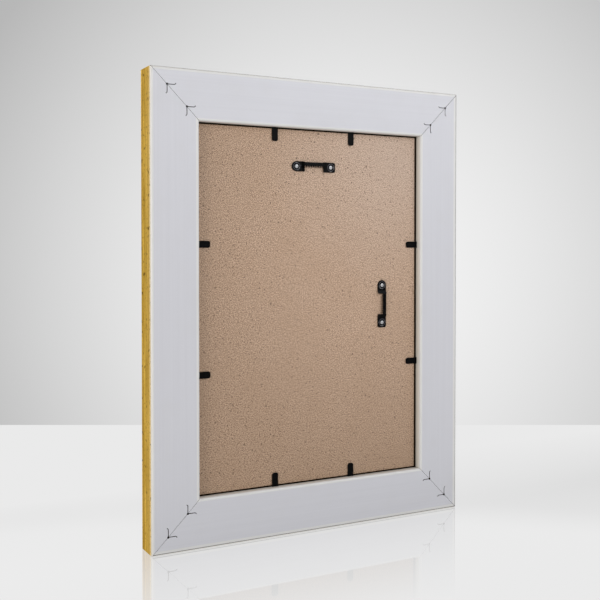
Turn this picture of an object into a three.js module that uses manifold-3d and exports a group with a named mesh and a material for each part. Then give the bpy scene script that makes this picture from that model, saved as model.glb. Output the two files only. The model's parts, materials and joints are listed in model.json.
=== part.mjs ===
// Upright picture frame: four mitred plastic rails joined by V-nails, with a pane, a sheet and a
// fibre board held in the back by flexible tabs, and two toothed hangers riveted to the board.
// The parts are laid out as seen from behind: x to the right, y up, z out of the back, in millimetres,
// with z = 0 at the front of the rails. Left and right in the names are as seen from the front.
import * as THREE from 'three';
import { mergeVertices } from 'three/addons/utils/BufferGeometryUtils.js';
import Module from 'manifold-3d';

const wasm = await Module();
wasm.setup();

// Sheet that the frame takes, and the play round it in the rabbet
const SHEET_WIDTH = 210;
const SHEET_HEIGHT = 297;
const RABBET_PLAY = 2;

// Play of the backing board in the rabbet, at each side and at each end
const BOARD_SIDE_PLAY = 2;
const BOARD_END_PLAY = 1.2;

// Layers behind the rabbet lip, and the play between them
const PANE_THICKNESS = 2;
const SHEET_THICKNESS = 0.25;
const BOARD_THICKNESS = 3;
const LAYER_PLAY = 0.1;
const BOARD_RECESS = 7;

// Rail section
const RAIL_DEPTH = 24;
const RAIL_BACK_WIDTH = 40.5;
const LIP_WIDTH = 6;
const BACK_EDGE_ROUND = 2;
const RABBET_EDGE_ROUND = 1.8;
const SHOULDER_ROUND = 1.5;
const CROWN_WIDTH = 10.5;
const SIGHT_DROP = 5.5;
const SIGHT_ROUND = 2;
const SIGHT_BAND = 4;
const BAND_STEP = 1;
const MITRE_GAP = 0.2;

// V-nails, two across each mitre
const NAIL_ARM = 5.7;
const NAIL_FLARE_RADIUS = 1.5;
const NAIL_FLARE_ANGLE = THREE.MathUtils.degToRad(75);
const NAIL_THICKNESS = 0.5;
const NAIL_HEIGHT = 10;
const NAIL_SINK = 1.2;
const NAIL_SLOT_PLAY = 0.2;
const OUTER_NAIL_INSET = 13.6;
const INNER_NAIL_INSET = 10.5;

// Flexible tabs: a pointed shank in the rabbet wall and a blade over the board
const TAB_WIDTH = 5.5;
const TAB_THICKNESS = 0.6;
const TAB_REACH = 11.6;
const TAB_END_ROUND = 1.8;
const TAB_EMBED = 7;
const TAB_TIP = 3;
const TAB_SLOT_PLAY = 0.2;
const TAB_BEND_GAP = 0.3;
const TAB_LIFT = 0.3;
const TAB_SPACING_ACROSS = 74;
const TAB_SPACING_UP = 105.4;

// Toothed hangers
const HANGER_LENGTH = 42;
const HANGER_WIDTH = 8.5;
const HANGER_SHEET = 0.8;
const HANGER_FOOT = 11.8;
const HANGER_SQUARE_ROUND = 1.5;
const HANGER_RISE = 1.2;
const HANGER_RISER_RUN = 2.2;
const HANGER_BAR_INSET = 0.5;
const HANGER_BAR_WIDTH = 2.9;
const HANGER_SEAT_GAP = 0.1;
const TOOTH_PITCH = 1.7;
const TOOTH_HEIGHT = 1.6;
const TOOTH_GULLET = 0.6;
const TOP_HANGER_INSET = 30.5;
const SIDE_HANGER_INSET = 35.5;

// Rivets through the hangers and the board
const RIVET_END_DISTANCE = 4.4;
const RIVET_SHANK_RADIUS = 1.15;
const RIVET_HEAD_RADIUS = 1.6;
const RIVET_HEAD_HEIGHT = 0.5;
const RIVET_CLINCH_RADIUS = 1.9;
const RIVET_CLINCH_HEIGHT = 0.4;
const RIVET_PLAY = 0.25;
const RIVET_SEAT_GAP = 0.1;
const RIVET_SIDES = 16;

// Fineness of round stretches
const ROUND_STEPS = 6;
const FLARE_STEPS = 3;

// Sizes that follow
const RABBET_WIDTH = SHEET_WIDTH + 2 * RABBET_PLAY;
const RABBET_HEIGHT = SHEET_HEIGHT + 2 * RABBET_PLAY;
const BOARD_WIDTH = RABBET_WIDTH - 2 * BOARD_SIDE_PLAY;
const BOARD_HEIGHT = RABBET_HEIGHT - 2 * BOARD_END_PLAY;
const FRAME_WIDTH = RABBET_WIDTH + 2 * RAIL_BACK_WIDTH;
const FRAME_HEIGHT = RABBET_HEIGHT + 2 * RAIL_BACK_WIDTH;
const BOARD_BACK = RAIL_DEPTH - BOARD_RECESS;
const BOARD_FRONT = BOARD_BACK - BOARD_THICKNESS;
const SHEET_FRONT = BOARD_FRONT - LAYER_PLAY - SHEET_THICKNESS;
const PANE_FRONT = SHEET_FRONT - LAYER_PLAY - PANE_THICKNESS;
const RABBET_SEAT = PANE_FRONT - LAYER_PLAY;
const TAB_BOTTOM = BOARD_BACK + TAB_LIFT;
const NAIL_BOTTOM = RAIL_DEPTH - NAIL_SINK - NAIL_HEIGHT;
const NAIL_INSETS = { outer: OUTER_NAIL_INSET, inner: RAIL_BACK_WIDTH - INNER_NAIL_INSET };
const TOOTH_COUNT = Math.floor((HANGER_LENGTH - 2 * HANGER_FOOT) / TOOTH_PITCH);
const QUARTER_TURN = Math.PI / 2;
const ACROSS = { length: FRAME_WIDTH, offset: FRAME_HEIGHT / 2, tabs: TAB_SPACING_ACROSS };
const UPRIGHT = { length: FRAME_HEIGHT, offset: FRAME_WIDTH / 2, tabs: TAB_SPACING_UP };

// Each rail in order round the frame, with the side that its own -x and +x ends lie on
const RAILS = [
  { name: 'bottom', ...ACROSS, ends: ['right', 'left'] },
  { name: 'left', ...UPRIGHT, ends: ['lower', 'upper'] },
  { name: 'top', ...ACROSS, ends: ['left', 'right'] },
  { name: 'right', ...UPRIGHT, ends: ['upper', 'lower'] },
];

// Corner at the -x end of each rail, in the same order
const CORNERS = ['bottom_right', 'bottom_left', 'top_left', 'top_right'];

const FINISHES = {
  rail: { color: 0xcfd0d4, roughness: 0.45, metalness: 0 },
  nail: { color: 0x55565a, roughness: 0.45, metalness: 0.9 },
  tab: { color: 0x121214, roughness: 0.5, metalness: 0.3 },
  pane: { color: 0xdfe8ea, roughness: 0.05, metalness: 0, transparent: true, opacity: 0.35 },
  sheet: { color: 0xf2efe8, roughness: 0.8, metalness: 0 },
  board: { color: 0xb0977f, roughness: 0.85, metalness: 0 },
  hanger: { color: 0x101012, roughness: 0.4, metalness: 0.5 },
  rivet: { color: 0xc4c4c6, roughness: 0.3, metalness: 1 },
};

function part(name, geometry, finish) {
  const mesh = new THREE.Mesh(geometry, new THREE.MeshStandardMaterial(FINISHES[finish]));
  mesh.name = name;
  return mesh;
}

// Closed mesh to solid and back, for joins and cuts
function toSolid(geometry) {
  const bare = geometry.clone();
  bare.deleteAttribute('normal');
  bare.deleteAttribute('uv');
  const merged = mergeVertices(bare);
  const vertProperties = new Float32Array(merged.attributes.position.array);
  const triVerts = new Uint32Array(merged.index.array);
  return new wasm.Manifold(new wasm.Mesh({ numProp: 3, vertProperties, triVerts }));
}

function toGeometry(solid) {
  const { vertProperties, triVerts } = solid.getMesh();
  const geometry = new THREE.BufferGeometry();
  geometry.setAttribute('position', new THREE.BufferAttribute(vertProperties, 3));
  geometry.setIndex(new THREE.BufferAttribute(triVerts, 1));
  geometry.computeVertexNormals();
  return geometry;
}

function cut(geometry, cutters) {
  let solid = toSolid(geometry);
  for (const cutter of cutters) {
    solid = solid.subtract(toSolid(cutter));
  }
  return toGeometry(solid);
}

// Flat outline given a thickness, standing on z = bottom
function slab(outline, bottom, thickness) {
  const options = { depth: thickness, bevelEnabled: false, curveSegments: ROUND_STEPS };
  return new THREE.ExtrudeGeometry(outline, options).translate(0, 0, bottom);
}

function layer(width, height, bottom, thickness) {
  return new THREE.BoxGeometry(width, height, thickness).translate(0, 0, bottom + thickness / 2);
}

// Rail section: x runs in from the outer edge, y from the front to the back
function railSection() {
  const inner = RAIL_BACK_WIDTH + LIP_WIDTH;
  const bandEnd = inner - SIGHT_ROUND - SIGHT_BAND;
  const crownEnd = SHOULDER_ROUND + CROWN_WIDTH;
  const coveFoot = SIGHT_DROP - BAND_STEP;
  const section = new THREE.Shape();
  section.moveTo(BACK_EDGE_ROUND, RAIL_DEPTH);
  section.lineTo(RAIL_BACK_WIDTH - RABBET_EDGE_ROUND, RAIL_DEPTH);
  section.absarc(RAIL_BACK_WIDTH - RABBET_EDGE_ROUND, RAIL_DEPTH - RABBET_EDGE_ROUND, RABBET_EDGE_ROUND,
    QUARTER_TURN, 0, true);
  section.lineTo(RAIL_BACK_WIDTH, RABBET_SEAT);
  section.lineTo(inner, RABBET_SEAT);
  section.lineTo(inner, SIGHT_DROP + SIGHT_ROUND);
  section.absarc(inner - SIGHT_ROUND, SIGHT_DROP + SIGHT_ROUND, SIGHT_ROUND, 0, -QUARTER_TURN, true);
  section.lineTo(bandEnd, SIGHT_DROP);
  section.lineTo(bandEnd, coveFoot);
  section.quadraticCurveTo(crownEnd + coveFoot, coveFoot, crownEnd, 0);
  section.lineTo(SHOULDER_ROUND, 0);
  section.absarc(SHOULDER_ROUND, SHOULDER_ROUND, SHOULDER_ROUND, -QUARTER_TURN, -2 * QUARTER_TURN, true);
  section.lineTo(0, RAIL_DEPTH - BACK_EDGE_ROUND);
  section.absarc(BACK_EDGE_ROUND, RAIL_DEPTH - BACK_EDGE_ROUND, BACK_EDGE_ROUND,
    2 * QUARTER_TURN, QUARTER_TURN, true);
  return section;
}

// Rail lying along x with its outer edge on y = 0 and both ends mitred at 45 degrees
function railBody(length) {
  const options = { depth: 1, bevelEnabled: false, curveSegments: ROUND_STEPS };
  const body = new THREE.ExtrudeGeometry(railSection(), options);
  const { position } = body.attributes;
  const setback = MITRE_GAP / Math.SQRT2;
  for (let i = 0; i < position.count; i += 1) {
    const inward = position.getX(i);
    const height = position.getY(i);
    const end = position.getZ(i) > 0.5 ? 1 : -1;
    position.setXYZ(i, end * (length / 2 - inward - setback), inward, height);
  }
  return body;
}

// Strip of even width along a path, made longer by the same amount at both ends
function ribbon(path, halfWidth, lengthen) {
  const points = path.map(([x, y]) => new THREE.Vector2(x, y));
  const last = points.length - 1;
  points[0].add(points[0].clone().sub(points[1]).setLength(lengthen));
  points[last].add(points[last].clone().sub(points[last - 1]).setLength(lengthen));
  const offsets = points.map((point, i) => {
    const before = point.clone().sub(points[Math.max(i - 1, 0)]).normalize();
    const after = points[Math.min(i + 1, last)].clone().sub(point).normalize();
    const along = before.clone().add(after).normalize();
    const reach = halfWidth / along.dot(i === 0 ? after : before);
    return new THREE.Vector2(-along.y, along.x).multiplyScalar(reach);
  });
  const left = points.map((point, i) => point.clone().add(offsets[i]));
  const right = points.map((point, i) => point.clone().sub(offsets[i]));
  return new THREE.Shape([...left, ...right.reverse()]);
}

// V-nail from above, its corner at the origin, one arm along +x and one along +y, ends flared outwards
function nailPath() {
  const arm = [];
  for (let i = 0; i <= FLARE_STEPS; i += 1) {
    const angle = NAIL_FLARE_ANGLE * i / FLARE_STEPS;
    const along = NAIL_ARM + NAIL_FLARE_RADIUS * Math.sin(angle);
    const outward = -NAIL_FLARE_RADIUS * (1 - Math.cos(angle));
    arm.push([along, outward]);
  }
  const otherArm = arm.map(([along, outward]) => [outward, along]);
  return [...otherArm.reverse(), [0, 0], ...arm];
}

function nailBody() {
  return slab(ribbon(nailPath(), NAIL_THICKNESS / 2, 0), NAIL_BOTTOM, NAIL_HEIGHT);
}

function nailSlot() {
  const outline = ribbon(nailPath(), NAIL_THICKNESS / 2 + NAIL_SLOT_PLAY, NAIL_SLOT_PLAY);
  const depth = NAIL_HEIGHT + NAIL_SINK + NAIL_SLOT_PLAY;
  return slab(outline, RAIL_DEPTH - depth, depth + NAIL_SLOT_PLAY);
}

// Pointed tab shank pointing along -y from the rabbet wall at y = 0, grown all round by a margin
function shankOutline(margin) {
  const half = TAB_WIDTH / 2 + margin;
  const shoulder = TAB_TIP - TAB_EMBED;
  const outline = new THREE.Shape();
  outline.moveTo(-half, margin);
  outline.lineTo(-half, shoulder);
  outline.lineTo(0, -TAB_EMBED - margin);
  outline.lineTo(half, shoulder);
  outline.lineTo(half, margin);
  return outline;
}

function tabShank() {
  return slab(shankOutline(0), TAB_BOTTOM, TAB_THICKNESS);
}

function tabSlot() {
  return slab(shankOutline(TAB_SLOT_PLAY), TAB_BOTTOM - TAB_SLOT_PLAY, TAB_THICKNESS + 2 * TAB_SLOT_PLAY);
}

// Tab blade reaching along +y over the board, with a rounded free end
function tabBlade() {
  const half = TAB_WIDTH / 2;
  const outline = new THREE.Shape();
  outline.moveTo(half, TAB_BEND_GAP);
  outline.lineTo(half, TAB_REACH - TAB_END_ROUND);
  outline.absarc(half - TAB_END_ROUND, TAB_REACH - TAB_END_ROUND, TAB_END_ROUND, 0, QUARTER_TURN, false);
  outline.absarc(TAB_END_ROUND - half, TAB_REACH - TAB_END_ROUND, TAB_END_ROUND,
    QUARTER_TURN, 2 * QUARTER_TURN, false);
  outline.lineTo(-half, TAB_BEND_GAP);
  return slab(outline, TAB_BOTTOM, TAB_THICKNESS);
}

// One side of the frame: the rail with its slots, and the tabs driven into its rabbet wall
function railSide({ name, length, offset, tabs, ends }, turn) {
  const cutters = [];
  for (const inset of Object.values(NAIL_INSETS)) {
    cutters.push(nailSlot().translate(inset - length / 2, inset, 0));
    cutters.push(nailSlot().rotateZ(QUARTER_TURN).translate(length / 2 - inset, inset, 0));
  }
  const side = new THREE.Group();
  ends.forEach((end, i) => {
    const along = (i - 0.5) * tabs;
    cutters.push(tabSlot().translate(along, RAIL_BACK_WIDTH, 0));
    const shank = part(`${name}_tab_shank_${end}`, tabShank(), 'tab');
    const blade = part(`${name}_tab_blade_${end}`, tabBlade(), 'tab');
    for (const piece of [shank, blade]) {
      piece.position.set(along, RAIL_BACK_WIDTH, 0);
      side.add(piece);
    }
  });
  side.add(part(`${name}_rail`, cut(railBody(length), cutters), 'rail'));
  side.rotation.z = turn;
  side.position.set(offset * Math.sin(turn), -offset * Math.cos(turn), 0);
  return side;
}

// The two V-nails of one corner
function cornerNails(name, x, y, turn) {
  const corner = new THREE.Group();
  for (const [place, inset] of Object.entries(NAIL_INSETS)) {
    const nail = part(`${name}_v_nail_${place}`, nailBody(), 'nail');
    nail.position.set(inset, inset, 0);
    corner.add(nail);
  }
  corner.rotation.z = turn;
  corner.position.set(x, y, 0);
  return corner;
}

// Hanger from above: round foot at -x, square foot at +x, toothed bar along the +y edge between them
function hangerPlan() {
  const endX = HANGER_LENGTH / 2;
  const half = HANGER_WIDTH / 2;
  const footX = endX - HANGER_FOOT;
  const barTop = half - HANGER_BAR_INSET;
  const barY = barTop - HANGER_BAR_WIDTH;
  const plan = new THREE.Shape();
  plan.moveTo(half - endX, half);
  plan.absarc(half - endX, 0, half, QUARTER_TURN, 3 * QUARTER_TURN, false);
  plan.lineTo(-footX, -half);
  plan.lineTo(-footX, barY);
  for (let i = 0; i < TOOTH_COUNT; i += 1) {
    const toothX = (i - (TOOTH_COUNT - 1) / 2) * TOOTH_PITCH;
    const toothHalf = (TOOTH_PITCH - TOOTH_GULLET) / 2;
    plan.lineTo(toothX - toothHalf, barY);
    plan.lineTo(toothX, barY - TOOTH_HEIGHT);
    plan.lineTo(toothX + toothHalf, barY);
  }
  plan.lineTo(footX, barY);
  plan.lineTo(footX, -half);
  plan.lineTo(endX - HANGER_SQUARE_ROUND, -half);
  plan.absarc(endX - HANGER_SQUARE_ROUND, HANGER_SQUARE_ROUND - half, HANGER_SQUARE_ROUND,
    -QUARTER_TURN, 0, false);
  plan.absarc(endX - HANGER_SQUARE_ROUND, half - HANGER_SQUARE_ROUND, HANGER_SQUARE_ROUND,
    0, QUARTER_TURN, false);
  plan.lineTo(footX, half);
  plan.lineTo(footX, barTop);
  plan.lineTo(-footX, barTop);
  plan.lineTo(-footX, half);
  for (const x of rivetPlaces()) {
    const hole = new THREE.Path();
    hole.absarc(x, 0, RIVET_SHANK_RADIUS + RIVET_PLAY, 0, 4 * QUARTER_TURN, false);
    plan.holes.push(hole);
  }
  return plan;
}

function rivetPlaces() {
  const x = HANGER_LENGTH / 2 - RIVET_END_DISTANCE;
  return [-x, x];
}

// Hanger from the side: flat feet that end in sloping risers, and a raised bar, all of one sheet
function hangerElevation() {
  const endX = HANGER_LENGTH / 2;
  const barX = endX - HANGER_FOOT;
  const footX = barX + HANGER_RISER_RUN;
  const slope = Math.atan2(HANGER_RISE, HANGER_RISER_RUN);
  const shift = HANGER_SHEET * Math.tan(slope / 2);
  const top = HANGER_RISE + HANGER_SHEET;
  return new THREE.Shape([
    new THREE.Vector2(-endX, 0),
    new THREE.Vector2(-footX, 0),
    new THREE.Vector2(-barX, HANGER_RISE),
    new THREE.Vector2(barX, HANGER_RISE),
    new THREE.Vector2(footX, 0),
    new THREE.Vector2(endX, 0),
    new THREE.Vector2(endX, HANGER_SHEET),
    new THREE.Vector2(footX + shift, HANGER_SHEET),
    new THREE.Vector2(barX + shift, top),
    new THREE.Vector2(-barX - shift, top),
    new THREE.Vector2(-footX - shift, HANGER_SHEET),
    new THREE.Vector2(-endX, HANGER_SHEET),
  ]);
}

function hangerBody() {
  const bent = slab(hangerElevation(), -HANGER_WIDTH / 2, HANGER_WIDTH).rotateX(QUARTER_TURN);
  const stamped = slab(hangerPlan(), -HANGER_SHEET, HANGER_RISE + 3 * HANGER_SHEET);
  return toGeometry(toSolid(bent).intersect(toSolid(stamped)));
}

// Rivet along z, with the board's back face at z = 0
function rivetBody() {
  const headBottom = HANGER_SEAT_GAP + HANGER_SHEET + RIVET_SEAT_GAP;
  const end = -BOARD_THICKNESS;
  const profile = [];
  for (let i = 0; i <= FLARE_STEPS; i += 1) {
    const angle = QUARTER_TURN * i / FLARE_STEPS;
    const radius = RIVET_HEAD_RADIUS * Math.sin(angle);
    profile.push(new THREE.Vector2(radius, headBottom + RIVET_HEAD_HEIGHT * Math.cos(angle)));
  }
  profile.push(new THREE.Vector2(RIVET_SHANK_RADIUS, headBottom));
  profile.push(new THREE.Vector2(RIVET_SHANK_RADIUS, end + RIVET_CLINCH_HEIGHT));
  profile.push(new THREE.Vector2(RIVET_CLINCH_RADIUS, end + RIVET_CLINCH_HEIGHT));
  profile.push(new THREE.Vector2(RIVET_CLINCH_RADIUS, end));
  profile.push(new THREE.Vector2(0, end));
  return new THREE.LatheGeometry(profile.reverse(), RIVET_SIDES).rotateX(QUARTER_TURN);
}

// Stepped hole for a rivet: a bore through the board and a wider pocket for the spread end
function rivetHole() {
  const bore = RIVET_SHANK_RADIUS + RIVET_PLAY;
  const pocket = RIVET_CLINCH_RADIUS + RIVET_PLAY;
  const pocketTop = -BOARD_THICKNESS + RIVET_CLINCH_HEIGHT + RIVET_SEAT_GAP;
  const below = -BOARD_THICKNESS - RIVET_PLAY;
  const profile = [
    new THREE.Vector2(0, below),
    new THREE.Vector2(pocket, below),
    new THREE.Vector2(pocket, pocketTop),
    new THREE.Vector2(bore, pocketTop),
    new THREE.Vector2(bore, RIVET_PLAY),
    new THREE.Vector2(0, RIVET_PLAY),
  ];
  return new THREE.LatheGeometry(profile, RIVET_SIDES).rotateX(QUARTER_TURN);
}

// Hanger with its two rivets, on the board's back face
function hangerSet(name, { x, y, turn }) {
  const set = new THREE.Group();
  const hanger = part(`${name}_hanger`, hangerBody(), 'hanger');
  hanger.position.z = HANGER_SEAT_GAP;
  set.add(hanger);
  ['round_end', 'square_end'].forEach((end, i) => {
    const rivet = part(`${name}_hanger_rivet_${end}`, rivetBody(), 'rivet');
    rivet.position.x = rivetPlaces()[i];
    set.add(rivet);
  });
  set.position.set(x, y, BOARD_BACK);
  set.rotation.z = turn;
  return set;
}

const HANGERS = {
  top: { x: 0, y: BOARD_HEIGHT / 2 - TOP_HANGER_INSET, turn: 0 },
  side: { x: BOARD_WIDTH / 2 - SIDE_HANGER_INSET, y: 0, turn: -QUARTER_TURN },
};

function boardBody() {
  const cutters = [];
  for (const { x, y, turn } of Object.values(HANGERS)) {
    for (const along of rivetPlaces()) {
      const hole = rivetHole().translate(along, 0, 0).rotateZ(turn);
      cutters.push(hole.translate(x, y, BOARD_BACK));
    }
  }
  return cut(layer(BOARD_WIDTH, BOARD_HEIGHT, BOARD_FRONT, BOARD_THICKNESS), cutters);
}

function pictureFrame() {
  const frame = new THREE.Group();
  RAILS.forEach((rail, i) => {
    frame.add(railSide(rail, i * QUARTER_TURN));
  });
  CORNERS.forEach((name, i) => {
    const x = (i === 1 || i === 2 ? 1 : -1) * FRAME_WIDTH / 2;
    const y = (i >= 2 ? 1 : -1) * FRAME_HEIGHT / 2;
    frame.add(cornerNails(name, x, y, i * QUARTER_TURN));
  });
  const pane = layer(SHEET_WIDTH, SHEET_HEIGHT, PANE_FRONT, PANE_THICKNESS);
  const sheet = layer(SHEET_WIDTH, SHEET_HEIGHT, SHEET_FRONT, SHEET_THICKNESS);
  frame.add(part('glazing_pane', pane, 'pane'));
  frame.add(part('picture_sheet', sheet, 'sheet'));
  frame.add(part('backing_board', boardBody(), 'board'));
  for (const [name, place] of Object.entries(HANGERS)) {
    frame.add(hangerSet(name, place));
  }
  return frame;
}

// Stood upright on its bottom rail, front towards -Y, origin at the middle of the bottom edge
const frame = pictureFrame();
frame.rotation.set(QUARTER_TURN, 0, Math.PI, 'ZYX');
frame.position.set(0, -RAIL_DEPTH / 2, FRAME_HEIGHT / 2);
const standing = new THREE.Group();
standing.add(frame);

export default standing;
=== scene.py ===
# Looks of an upright picture frame seen from behind: mitred plastic rails with a white back and gold
# foil, V-nails across the mitres, bendable tabs over a fibre board, and two riveted toothed hangers.
# Everything is in metres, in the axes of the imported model: +Z up, +Y out of the back.
import json
import math

import bmesh
import bpy
from mathutils import Matrix, Vector


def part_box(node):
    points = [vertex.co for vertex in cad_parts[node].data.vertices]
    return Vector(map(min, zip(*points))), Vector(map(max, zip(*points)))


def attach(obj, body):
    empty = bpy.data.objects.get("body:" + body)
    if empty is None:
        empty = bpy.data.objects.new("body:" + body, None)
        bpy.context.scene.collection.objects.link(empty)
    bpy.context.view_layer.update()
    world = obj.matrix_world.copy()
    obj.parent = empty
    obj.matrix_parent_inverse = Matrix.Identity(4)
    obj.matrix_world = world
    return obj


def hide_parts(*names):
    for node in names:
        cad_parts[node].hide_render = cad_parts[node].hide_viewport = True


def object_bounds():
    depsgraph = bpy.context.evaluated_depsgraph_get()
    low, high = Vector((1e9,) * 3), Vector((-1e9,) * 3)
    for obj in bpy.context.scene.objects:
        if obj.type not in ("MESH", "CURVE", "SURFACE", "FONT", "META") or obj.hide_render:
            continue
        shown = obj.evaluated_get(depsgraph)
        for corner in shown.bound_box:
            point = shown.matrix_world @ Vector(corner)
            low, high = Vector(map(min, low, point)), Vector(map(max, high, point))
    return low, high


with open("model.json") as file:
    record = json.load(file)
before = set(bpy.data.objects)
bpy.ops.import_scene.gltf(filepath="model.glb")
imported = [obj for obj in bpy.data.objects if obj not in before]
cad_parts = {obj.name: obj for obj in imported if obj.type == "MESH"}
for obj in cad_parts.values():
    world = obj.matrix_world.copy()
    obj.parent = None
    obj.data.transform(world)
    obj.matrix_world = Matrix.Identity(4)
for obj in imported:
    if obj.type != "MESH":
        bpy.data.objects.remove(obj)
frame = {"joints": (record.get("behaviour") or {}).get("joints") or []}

CAD_LOW, CAD_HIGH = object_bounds()
MM = 0.001
UP = Vector((0, 0, 1))
BACKWARD = Vector((0, 1, 0))
REAR_RIGHT = Vector((-1, 0, 0))

# Rail section, measured in from the outer edge and from the front
RAIL_DEPTH = CAD_HIGH.y - CAD_LOW.y
RAIL_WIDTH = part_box("left_rail")[1].x - CAD_LOW.x
LIP_WIDTH = 6 * MM
BACK_WIDTH = RAIL_WIDTH - LIP_WIDTH
SEAT_PLAY = 0.1 * MM
SEAT_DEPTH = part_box("glazing_pane")[0].y - CAD_LOW.y - SEAT_PLAY
BOARD_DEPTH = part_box("backing_board")[1].y - CAD_LOW.y
BACK_ROUND = 2 * MM
LIP_ROUND = 1.8 * MM
SEAT_ROUND = 0.2 * MM
LIP_EDGE_ROUND = 0.4 * MM
SHOULDER_ROUND = 1.5 * MM
CROWN_WIDTH = 10.5 * MM
CROWN_ROUND = 0.8 * MM
SIGHT_DROP = 5.5 * MM
SIGHT_ROUND = 2 * MM
SIGHT_BAND = 4 * MM
BAND_STEP = 1 * MM
STEP_ROUND = 0.25 * MM
COVE_STEPS = 14
MITRE_GAP = 0.2 * MM
MITRE_EASE = 0.15 * MM

# V-nails and the slots that they were driven into
OUTER_NAIL_INSET = 13.6 * MM
INNER_NAIL_INSET = 10.5 * MM
NAIL_INSETS = {"outer": OUTER_NAIL_INSET, "inner": BACK_WIDTH - INNER_NAIL_INSET}
NAIL_ARM = 5.7 * MM
NAIL_FLARE_RADIUS = 1.5 * MM
NAIL_FLARE_ANGLE = math.radians(75)
NAIL_THICKNESS = 0.5 * MM
NAIL_HEIGHT = 10 * MM
NAIL_SINK = 1.2 * MM
NAIL_EDGE = 0.08 * MM
NAIL_SLOT_PLAY = 0.06 * MM
NAIL_SLOT_SPARE = 0.5 * MM
NAIL_SLOT_DEPTH = NAIL_HEIGHT + NAIL_SINK + NAIL_SLOT_SPARE
PUNCH_RADIUS = 0.95 * MM
PUNCH_DEPTH = 3 * MM
PUNCH_SIDES = 16

# Bendable tabs; the knuckle's round is a share of the sheet's thickness
TAB_SHEET_EDGE = 0.12 * MM
TAB_END_ROUND = 1.8 * MM
TAB_TIP = 3 * MM
TAB_SLOT_PLAY = 0.15 * MM
TAB_KNUCKLE_GAP = 0.05 * MM
TAB_KNUCKLE_SHARE = 0.49

# Board, pane and sheet, and two places on the board, in its own axes, round which its tone changes: painted
# light that darkens the board away from the first, and a paler painted sheen round the second
BOARD_EDGE = 0.4 * MM
BOARD_LIGHT_CENTRE = (0.05, 0.24, 0.005)
BOARD_SHEEN = (0.1, 0.345, 0.005)
PANE_EDGE = 0.3 * MM
PAPER_EDGE = 0.05 * MM

# Hangers; the round foot stays just short of a half circle, so that its two rounds don't meet
HANGER_SEAT_GAP = 0.1 * MM
HANGER_SHEET = 0.8 * MM
HANGER_FOOT = 11.8 * MM
HANGER_RISE = 1.2 * MM
HANGER_RISER_RUN = 2.2 * MM
HANGER_BEND_REACH = 0.7 * MM
HANGER_BEND_STEPS = 12
HANGER_BAR_INSET = 0.5 * MM
HANGER_BAR_WIDTH = 2.9 * MM
HANGER_SQUARE_ROUND = 1.5 * MM
HANGER_FOOT_ROUND = 0.5 * MM
HANGER_HALF_CIRCLE = 0.999
HANGER_NOTCH_ROUND = HANGER_BAR_INSET / 3
HANGER_EDGE = 0.12 * MM
TOOTH_COUNT = 10
TOOTH_PITCH = 1.7 * MM
TOOTH_HEIGHT = 1.6 * MM
TOOTH_GULLET = 0.6 * MM
COLLAR_RADIUS = 3.1 * MM
COLLAR_HALF_WIDTH = 0.3 * MM
COLLAR_HEIGHT = 0.3 * MM

# Rivets
RIVET_END_DISTANCE = 4.4 * MM
RIVET_SHANK_RADIUS = 1.15 * MM
RIVET_HEAD_RADIUS = 1.6 * MM
RIVET_HEAD_HEIGHT = 0.5 * MM
RIVET_DIMPLE_RADIUS = 0.65 * MM
RIVET_DIMPLE_DEPTH = 0.9 * MM
RIVET_DIMPLE_FLOOR_RADIUS = RIVET_DIMPLE_RADIUS * 0.6
RIVET_DIMPLE_FLOOR_DEPTH = RIVET_DIMPLE_DEPTH * 0.9
RIVET_CLINCH_RADIUS = 1.9 * MM
RIVET_CLINCH_HEIGHT = 0.4 * MM
RIVET_PLAY = 0.25 * MM
RIVET_SEAT_GAP = 0.1 * MM

# Where painted light makes the foil lighter, and where a pale painted highlight lies on it, as heights over
# the rail's front, and how far painted shade on the rabbet's wall reaches over the board
FOIL_LIT = (8 * MM, 24 * MM)
FOIL_HIGHLIGHT = (18.5 * MM, 21.5 * MM)
RECESS_SHADE_REACH = 5 * MM

# Fineness of round stretches, the angle from which an edge stays crisp, how far cutters reach past
# what they cut, and how near to each other points are the same
ROUND_STEPS = 6
FLARE_STEPS = 8
LATHE_SIDES = 40
COLLAR_SIDES = 10
CRISP_ANGLE = math.radians(34)
CUT_PAST = 1 * MM
SAME_PLACE = 1e-6
SAME_CUT = 1e-7

# Which way each rail's inner edge faces
INWARD = {
    "bottom": UP,
    "left": Vector((1, 0, 0)),
    "top": -UP,
    "right": Vector((-1, 0, 0)),
}
# The corner at each rail's own -x end, and the two tabs from its -x end to its +x end
CORNERS = {"bottom": "bottom_right", "left": "bottom_left", "top": "top_left", "right": "top_right"}
TABS = {
    "bottom": ("right", "left"),
    "left": ("lower", "upper"),
    "top": ("left", "right"),
    "right": ("upper", "lower"),
}
# What covers a rail: its flat back, the back's rims, the rabbet's wall, foil, and a near-black brown that
# paints shade; the rims and the wall are in lighter whites that paint light on them
WHITE, LIT_EDGE, LIT_WALL, GOLD, DARK_SHADE = range(5)
# Darkest, lightest and soiled tone of the white skin on the first three of those; the second and third are
# lighter, warmer copies of the first that paint light on the rims, the lip, the outer round and the wall
WHITE_TONES = {
    "flat_plastic": ((0.582, 0.582, 0.618, 1), (0.597, 0.597, 0.633, 1), (0.57, 0.565, 0.585, 1)),
    "lit_edge_plastic": ((0.655, 0.65, 0.64, 1), (0.685, 0.68, 0.67, 1), (0.62, 0.605, 0.57, 1)),
    "lit_wall_plastic": ((0.7, 0.675, 0.63, 1), (0.74, 0.715, 0.67, 1), (0.65, 0.615, 0.55, 1)),
}
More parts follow.
